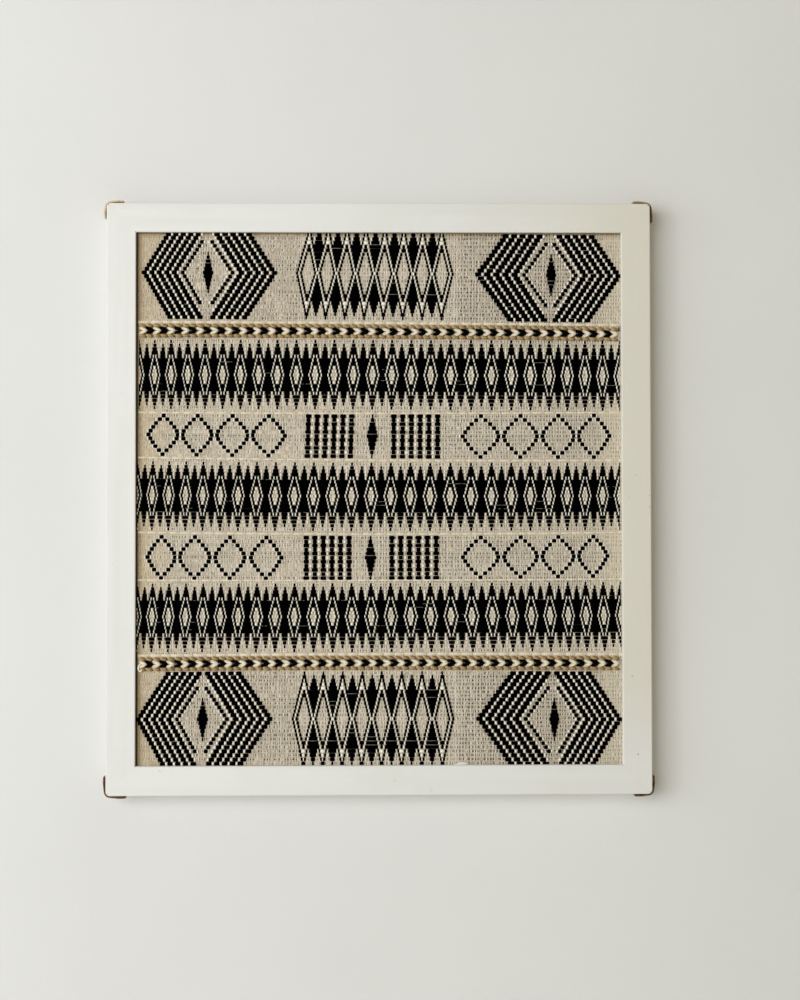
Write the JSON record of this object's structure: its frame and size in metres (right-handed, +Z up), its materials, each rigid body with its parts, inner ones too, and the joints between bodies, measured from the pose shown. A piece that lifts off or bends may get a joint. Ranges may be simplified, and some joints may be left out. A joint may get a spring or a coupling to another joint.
{
  "type": "framed woven textile in a wall-hung wooden frame",
  "caption": "Flat handwoven cloth with two raised twined bands, set in the rabbet of a mitred white-painted wooden frame that hangs on a wall.",
  "frame": {"origin": "middle of the top rail's back face, where the frame meets the wall that it hangs on", "axes": "+Z up, +X to the viewer's right, -Y out of the front, so the back lies in the plane y = 0"},
  "size_m": [0.505, 0.022, 0.548],
  "materials": {
    "white_paint": "brushed white paint, satin",
    "aged_brass": "dark aged brass",
    "woven_cotton": "matte, ribbed handweave",
    "brown_jute": "matte, twisted yarn",
    "braided_cotton": "matte, twined yarn"
  },
  "bodies": {
    "root": {"rail_top": "white_paint", "rail_bottom": "white_paint", "rail_left": "white_paint", "rail_right": "white_paint", "strap_top_left": "aged_brass", "strap_top_right": "aged_brass", "strap_bottom_left": "aged_brass", "strap_bottom_right": "aged_brass", "cloth": "woven_cotton", "band_upper_cord_high": "brown_jute", "band_upper_braid": "braided_cotton", "band_upper_cord_low": "brown_jute", "band_lower_cord_high": "brown_jute", "band_lower_braid": "braided_cotton", "band_lower_cord_low": "brown_jute"}
  },
  "joints": []
}
